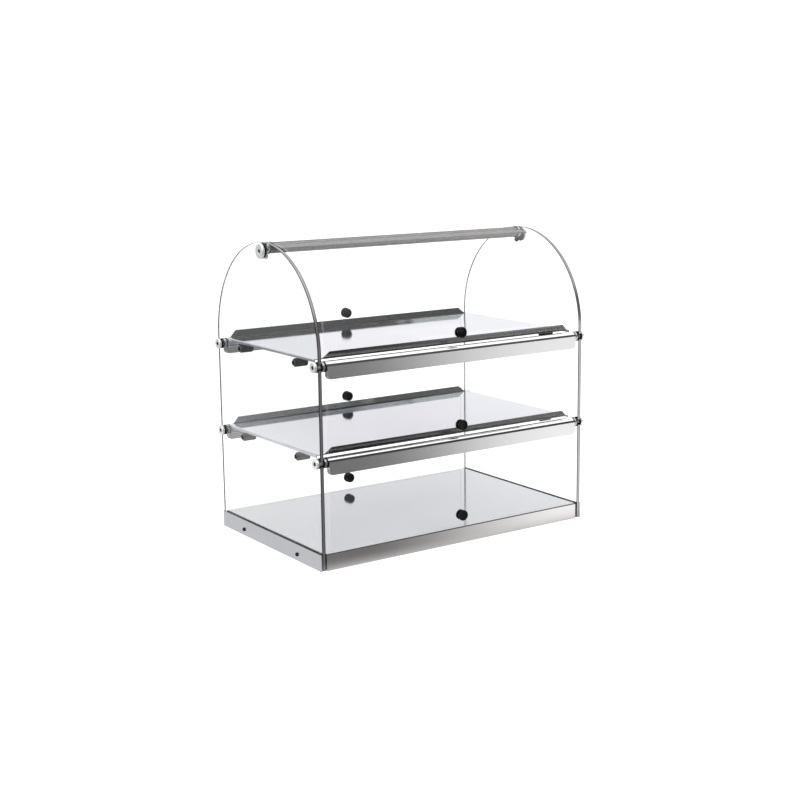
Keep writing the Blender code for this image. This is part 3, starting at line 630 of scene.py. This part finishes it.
# ---- level doors and the profiles that hold them
def roundCorner(shape, sign, centre, radius, steps):
    # planes touching the corner's arc trim it, one after another
    for i in range(steps):
        angle = math.radians(90 * (i + 0.5) / steps)
        normal = Vector((sign * math.cos(angle), 0, -math.sin(angle)))
        touch = Vector((sign * centre[0], 0, centre[1])) + normal * radius
        everything = shape.verts[:] + shape.edges[:] + shape.faces[:]
        trimmed = bmesh.ops.bisect_plane(shape, geom=everything, dist=1e-7, plane_co=touch,
                                         plane_no=normal, clear_outer=True)
        rim = [part for part in trimmed["geom_cut"] if isinstance(part, bmesh.types.BMEdge)]
        bmesh.ops.holes_fill(shape, edges=rim, sides=0)


def levelProfile(level, face, sign):
    settings = {"bore": 5.3 * mm, "back": 2 * mm, "top": 2.5 * mm, "slot": (3.9 * mm, 7.5 * mm),
                "slotTop": -9.6 * mm, "corner": 6 * mm, "edge": 0.35 * mm, "crease": 1.1 * mm}
    node = f"{level}_{face}_hinge_profile"
    low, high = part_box(node)
    rod = middle(f"{level}_{face}_rod")
    tube, bottom = high.z - rod.z, low.z - rod.z
    front = max(abs(low.y), abs(high.y)) - abs(rod.y)
    ledge = math.degrees(math.asin(settings["top"] / tube))
    heel = 360 - math.degrees(math.acos(settings["back"] / tube))
    slotIn, slotOut = settings["slot"]
    crease = settings["crease"]
    outline = arc((0, 0), tube, ledge, heel, 40) + [
        (settings["back"], bottom), (slotIn, bottom), (slotIn, settings["slotTop"]),
        (slotOut, settings["slotTop"]), (slotOut, bottom), (front, bottom)]
    outline += arc((front - crease, settings["top"] - crease), crease, 0, 90, 4)
    shape = bmesh.new()
    edges = []
    for loop in (outline, arc((0, 0), settings["bore"], 0, 352.5, 47)):
        edges += chain(shape, [(low.x, rod.y + sign * y, rod.z + z) for y, z in loop])
    fillAndExtrude(shape, edges, (high.x - low.x, 0, 0))
    corner = settings["corner"]
    for end in sides.values():
        roundCorner(shape, end, (high.x - corner, low.z + corner), corner, 6)

    def pick(part):
        away = (part.calc_center_median().y - rod.y) * sign
        up = part.calc_center_median().z - rod.z
        if abs(part.normal.x) > 0.5:
            return 0
        # the ledge and the band of tube just above it take the painted shade of the crease
        if settings["top"] - crease < up < 4.4 * mm and away > 0:
            return 2
        # above the ledge the tube takes the near-white painted highlight, below it the plain steel
        return 0 if away > front - crease or up < settings["top"] - crease else 1

    shape.normal_update()
    makePiece(f"{level}{face.title()}Profile", shape, (brushedSteel, tubePaintedHighlight, paintedFoldShade),
              f"{level}_{face}_flap", [node], pick)


def levelDoor(level, face, sign):
    settings = {"corner": 4 * mm, "hole": 2.8 * mm, "edge": 0.3 * mm}
    node = f"{level}_{face}_door"
    low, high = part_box(node)
    knob = middle(f"{level}_{face}_knob")
    corner = settings["corner"]
    shape = bmesh.new()
    outline = [(high.x, high.z)] + arc((high.x - corner, low.z + corner), corner, 0, -90, 8) + \
        arc((low.x + corner, low.z + corner), corner, -90, -180, 8) + [(low.x, high.z)]
    edges = chain(shape, [(x, low.y, z) for x, z in outline])
    hole = arc((knob.x, knob.z), settings["hole"], 0, 345, 23)
    edges += chain(shape, [(x, low.y, z) for x, z in hole])
    fillAndExtrude(shape, edges, (0, high.y - low.y, 0))
    roundEdges(shape, settings["edge"], 2)
    makePiece(f"{level}{face.title()}Door", shape, (acrylicClear, acrylicEdge), f"{level}_{face}_flap",
              [node], lambda part: 0 if abs(part.normal.y) > 0.999 else 1)


for level in levels:
    for face, sign in faces.items():
        levelProfile(level, face, sign)
        levelDoor(level, face, sign)
print("level doors made")


# ---- curved doors and the tubes and lips that carry them
def curvedDoor(face, sign):
    settings = {"sheet": 3 * mm, "start": 11 * mm, "edge": 0.3 * mm, "steps": 72}
    node = f"top_{face}_door"
    low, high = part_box(node)
    centre = low.z
    outer = max(abs(low.y), abs(high.y))
    inner = outer - settings["sheet"]
    tops = [90 - math.degrees(math.asin(settings["start"] / radius)) for radius in (outer, inner)]
    outline = arc((0, centre), outer, 0, tops[0], settings["steps"])
    outline += arc((0, centre), inner, tops[1], 0, settings["steps"])
    shape = bmesh.new()
    edges = chain(shape, [(low.x, sign * y, z) for y, z in outline])
    fillAndExtrude(shape, edges, (high.x - low.x, 0, 0))

    def pick(part):
        spot = part.calc_center_median()
        radial = Vector((0, spot.y, spot.z - centre)).normalized()
        return 0 if abs(part.normal.dot(radial)) > 0.9 else 1

    roundEdges(shape, settings["edge"], 2)
    makePiece(f"top{face.title()}Door", shape, (acrylicClear, acrylicEdge), f"top_{face}_flap", [node],
              pick)


def topProfile(face, sign):
    settings = {"tube": 8.4 * mm, "bore": 5.3 * mm, "seam": 0.25 * mm, "lip": (9.5 * mm, 32 * mm),
                "web": (5 * mm, 20 * mm), "webInset": 0.2 * mm, "lipThick": 2 * mm, "soft": 0.4 * mm}
    node = f"top_{face}_hinge_profile"
    low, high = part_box(node)
    rod = middle("top_rod")
    half, seam = high.x, settings["seam"]
    quarter = half / 2
    spans = {"front": ((-half, -quarter - seam), (seam, quarter - seam)),
             "rear": ((-quarter + seam, -seam), (quarter + seam, half))}
    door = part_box(f"top_{face}_door")
    centre = door[0].z
    outer = max(abs(door[0].y), abs(door[1].y)) - 3.3 * mm
    shape = bmesh.new()
    pieces = [(settings["lip"], 0, -half, half)]
    for start, end in spans[face]:
        soft = settings["soft"]
        tube, bore = settings["tube"], settings["bore"]
        parts = bmesh.new()
        turn(parts, [(bore, start), (tube - soft, start), (tube, start + soft), (tube, end - soft),
                     (tube - soft, end), (bore, end), (bore, start)], alongX(1, (0, rod.y, rod.z)), 64)
        merge(shape, parts)
        inset = settings["webInset"]
        pieces.append((settings["web"], inset, start + inset, end - inset))
    for (start, end), inset, left, right in pieces:
        radii = (outer - inset, outer - settings["lipThick"] + inset)
        angles = [[90 - math.degrees(math.asin(edge / radius)) for edge in (start, end)]
                  for radius in radii]
        outline = arc((0, centre), radii[0], *angles[0], 12)
        outline += arc((0, centre), radii[1], *reversed(angles[1]), 12)
        parts = bmesh.new()
        edges = chain(parts, [(left, sign * y, z) for y, z in outline])
        fillAndExtrude(parts, edges, (right - left, 0, 0))
        roundEdges(parts, 0.25 * mm, 2)
        merge(shape, parts)
    makePiece(f"top{face.title()}Profile", shape, (barSteel,), f"top_{face}_flap", [node])


for face, sign in faces.items():
    curvedDoor(face, sign)
    topProfile(face, sign)
print("curved doors made")


# ---- knobs, pegs and stop screws
def knobs():
    knob = {"radius": 8.4 * mm, "length": 4.6 * mm, "back": 8 * mm, "backLength": 3.2 * mm,
            "shank": 2.5 * mm, "soft": 1.5 * mm, "gap": 3.6 * mm, "dish": 0.3 * mm, "edge": 0.4 * mm}
    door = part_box("top_front_door")
    slope = math.asin((middle("top_front_knob").z - door[0].z) / -door[0].y)
    for level in ("top", *levels):
        lean = slope if level == "top" else 0
        for face, sign in faces.items():
            node = f"{level}_{face}_knob"
            tilt = Matrix.Rotation(-sign * (math.pi / 2 - lean), 4, "X")
            end = (knob["length"] + knob["backLength"] + knob["gap"]) / 2
            soft, neck, radius, back = knob["soft"], end - knob["length"], knob["radius"], knob["back"]
            rear, edge = neck - knob["gap"], knob["edge"]
            rim = arc((radius - soft, end - soft), soft, 90, 0, 7)
            backRim = arc((back - soft, soft - end), soft, 0, -90, 7)
            shape = bmesh.new()
            front = [(0, end - knob["dish"]), (radius * 0.55, end - knob["dish"])]
            waist = [(radius, neck + edge), (radius - edge, neck), (knob["shank"], neck),
                     (knob["shank"], rear), (back - edge, rear), (back, rear - edge)]
            turn(shape, front + rim + waist + backRim + [(0, -end)],
                 Matrix.Translation(middle(node)) @ tilt)
            makePiece(f"{level}{face.title()}Knob", shape, (blackPlastic,), f"{level}_{face}_flap",
                      [node])


def pegs():
    settings = {"soft": 1.2 * mm, "stub": 3 * mm}
    for level in levels:
        for side, sign in sides.items():
            for face in faces:
                node = f"{level}_peg_{side}_{face}"
                low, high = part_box(node)
                axis, radius, soft = (low + high) / 2, (high.z - low.z) / 2, settings["soft"]
                inner, outer = sorted((abs(low.x), abs(high.x)))
                shoulder = glassInner - 0.3 * mm
                shape = bmesh.new()
                stub = [(0, outer), (settings["stub"], outer), (settings["stub"], shoulder),
                        (radius - 0.3 * mm, shoulder), (radius, shoulder - 0.3 * mm)]
                turn(shape, stub + arc((radius - soft, inner + soft), soft, 0, -90, 6) + [(0, inner)],
                     Matrix.Identity(4), 40)
                bmesh.ops.transform(shape, matrix=alongX(sign, (0, axis.y, axis.z)), verts=shape.verts)
                makePiece(f"{level}Peg_{side}_{face}", shape, (blackPlastic,), "case", [node])


def stopScrews():
    # round-headed screws that lock the top collars to their rod
    settings = {"ball": 3.9 * mm, "neck": 1.8 * mm, "steps": 14}
    low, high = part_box("top_rod")
    centre, reach = (low + high) / 2, (high.z - low.z) / 2
    for side, sign in sides.items():
        x = sign * (high.x - 3.7 * mm)
        ball = settings["ball"]
        shape = bmesh.new()
        head = arc((0, -reach - ball * 0.85), ball, -90, 68, settings["steps"])
        turn(shape, head + [(settings["neck"], -reach + 0.6 * mm), (0, -reach + 0.6 * mm)],
             Matrix.Translation((x, centre.y, centre.z)), 32)
        makePiece(f"stopScrew_{side}", shape, (chrome if sign < 0 else blackPlastic,), "case", [])


knobs()
pegs()
stopScrews()
print("small turned parts made")


# ---- power inlet: brass blades inside the recess
def inletBlades():
    settings = {"across": 7 * mm, "drop": 2 * mm, "recess": 8.5 * mm, "halfWide": 1.15 * mm,
                "halfHigh": 2.15 * mm, "root": 16 * mm, "tip": 3.6 * mm}
    low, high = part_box("power_inlet")
    centre = (low + high) / 2
    across, drop = settings["across"], settings["drop"]
    wide, tall = settings["halfWide"], settings["halfHigh"]
    shape = bmesh.new()
    for x, z in ((-across, -drop), (0, drop), (across, -drop)):
        x += centre.x - settings["recess"]
        z += centre.z
        parts = bmesh.new()
        block(parts, (x - wide, high.y - settings["root"], z - tall),
              (x + wide, high.y - settings["tip"], z + tall))
        roundEdges(parts, 0.5 * mm, 3)
        merge(shape, parts)
    makePiece("inletBlades", shape, (brass,), "case", [])


inletBlades()

# ---- carried-over nodes
nodeFinish = {"bottom_plate": galvanised, "heating_mat": siliconeRed, "power_inlet": matteBlack,
              "switch_rocker": blackPlastic}
for node, material in nodeFinish.items():
    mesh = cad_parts[node].data
    mesh.materials.clear()
    mesh.materials.append(material)
print("carried-over nodes finished:", len(nodeFinish))


# ---- camera
def makeCamera():
    settings = {"place": (-1.265, -1.865, 0.642), "yaw": 34.09, "pitch": 10.95, "roll": -0.71,
                "lens": 63.6, "sensor": 36}
    data = bpy.data.cameras.new("camera")
    data.lens = settings["lens"]
    data.sensor_width = settings["sensor"]
    data.clip_start = 0.01
    data.clip_end = 100
    camera = bpy.data.objects.new("camera", data)
    bpy.context.scene.collection.objects.link(camera)
    camera.matrix_world = (Matrix.Translation(settings["place"]) @
                           Matrix.Rotation(math.radians(-settings["yaw"]), 4, "Z") @
                           Matrix.Rotation(math.radians(90 - settings["pitch"]), 4, "X") @
                           Matrix.Rotation(math.radians(settings["roll"]), 4, "Z"))
    bpy.context.scene.camera = camera


makeCamera()


# ---- light: white for the eye, a soft tent with a darker front in reflections
def seen(finish):
    # 1 for what is looked at directly or through glass, 0 for what is mirrored or scattered
    glossy = finish.node("LightPath", {}, {}, "Glossy Depth")
    diffuse = finish.node("LightPath", {}, {}, "Diffuse Depth")
    return 1 - (glossy + diffuse).calc("MINIMUM", 1.0)


def makeWorld():
    settings = {"white": 1.35, "front": 0.19, "back": 1.14, "dim": 0.30, "top": 1.25}
    world = bpy.data.worlds.new("studio")
    bpy.context.scene.world = world
    finish = Finish("studio", world)
    ray = finish.node("TexCoord", {}, {}, "Generated")
    behind, height = ray.axis("Y").ramp(-0.30, 0.50), ray.axis("Z")
    back = settings["back"] - height.ramp(0.15, 0.34) * settings["dim"]
    tent = behind * (back - settings["front"]) + settings["front"]
    above = height.ramp(0.38, 0.56)
    tent = tent * (1 - above) + above * settings["top"]
    eye = seen(finish)
    strength = tent * (1 - eye) + eye * settings["white"]
    background = finish.tree.nodes["Background"]
    background.inputs["Color"].default_value = (0.985, 0.985, 1.0, 1.0)
    finish.feed(background.inputs["Strength"], strength)


def makeFloor():
    settings = {"white": 1.35, "size": 30.0, "side": 0.86, "far": 0.22, "dark": 0.19, "light": 1.55,
                "skew": 0.68, "drop": -0.001}
    finish = Finish("paleFloor")
    place = finish.place()
    infront = 1 - place.axis("Y").ramp(-0.205, -0.15)
    across = (place.axis("X") + place.axis("Y") * settings["skew"]).ramp(-0.30, 0.17)
    front = across * (settings["light"] - settings["dark"]) + settings["dark"]
    near = place.axis("X").ramp(-0.95, -0.55)
    beside = near * (settings["side"] - settings["far"]) + settings["far"]
    bounce = front * infront + (1 - infront) * beside
    eye = seen(finish)
    strength = bounce * (1 - eye) + eye * settings["white"]
    glow = finish.node("Emission", {}, {"Strength": strength})
    finish.feed(finish.tree.nodes["Material Output"].inputs["Surface"], glow)
    shape = bmesh.new()
    bmesh.ops.create_grid(shape, x_segments=1, y_segments=1, size=settings["size"] / 2)
    mesh = bpy.data.meshes.new("floor")
    shape.to_mesh(mesh)
    shape.free()
    mesh.materials.append(finish.material)
    floor = bpy.data.objects.new("floor", mesh)
    floor.location.z = settings["drop"]
    bpy.context.scene.collection.objects.link(floor)


def makeLights():
    # place, aim, size in metres and power in watts
    lamps = {"overhead": ((-0.2, -0.3, 1.7), (0, 0, 0.2), 1.2, 4),
             "left": ((-1.7, -0.6, 1.0), (0, 0, 0.2), 0.9, 11)}
    for name, (place, aim, size, power) in lamps.items():
        data = bpy.data.lights.new(name, "AREA")
        data.size = size
        data.energy = power
        lamp = bpy.data.objects.new(name, data)
        lamp.location = place
        lamp.rotation_euler = (Vector(aim) - Vector(place)).to_track_quat("-Z", "Y").to_euler()
        bpy.context.scene.collection.objects.link(lamp)


makeWorld()
makeFloor()
makeLights()
bpy.context.scene.view_settings.view_transform = "Standard"
print("camera and light set")
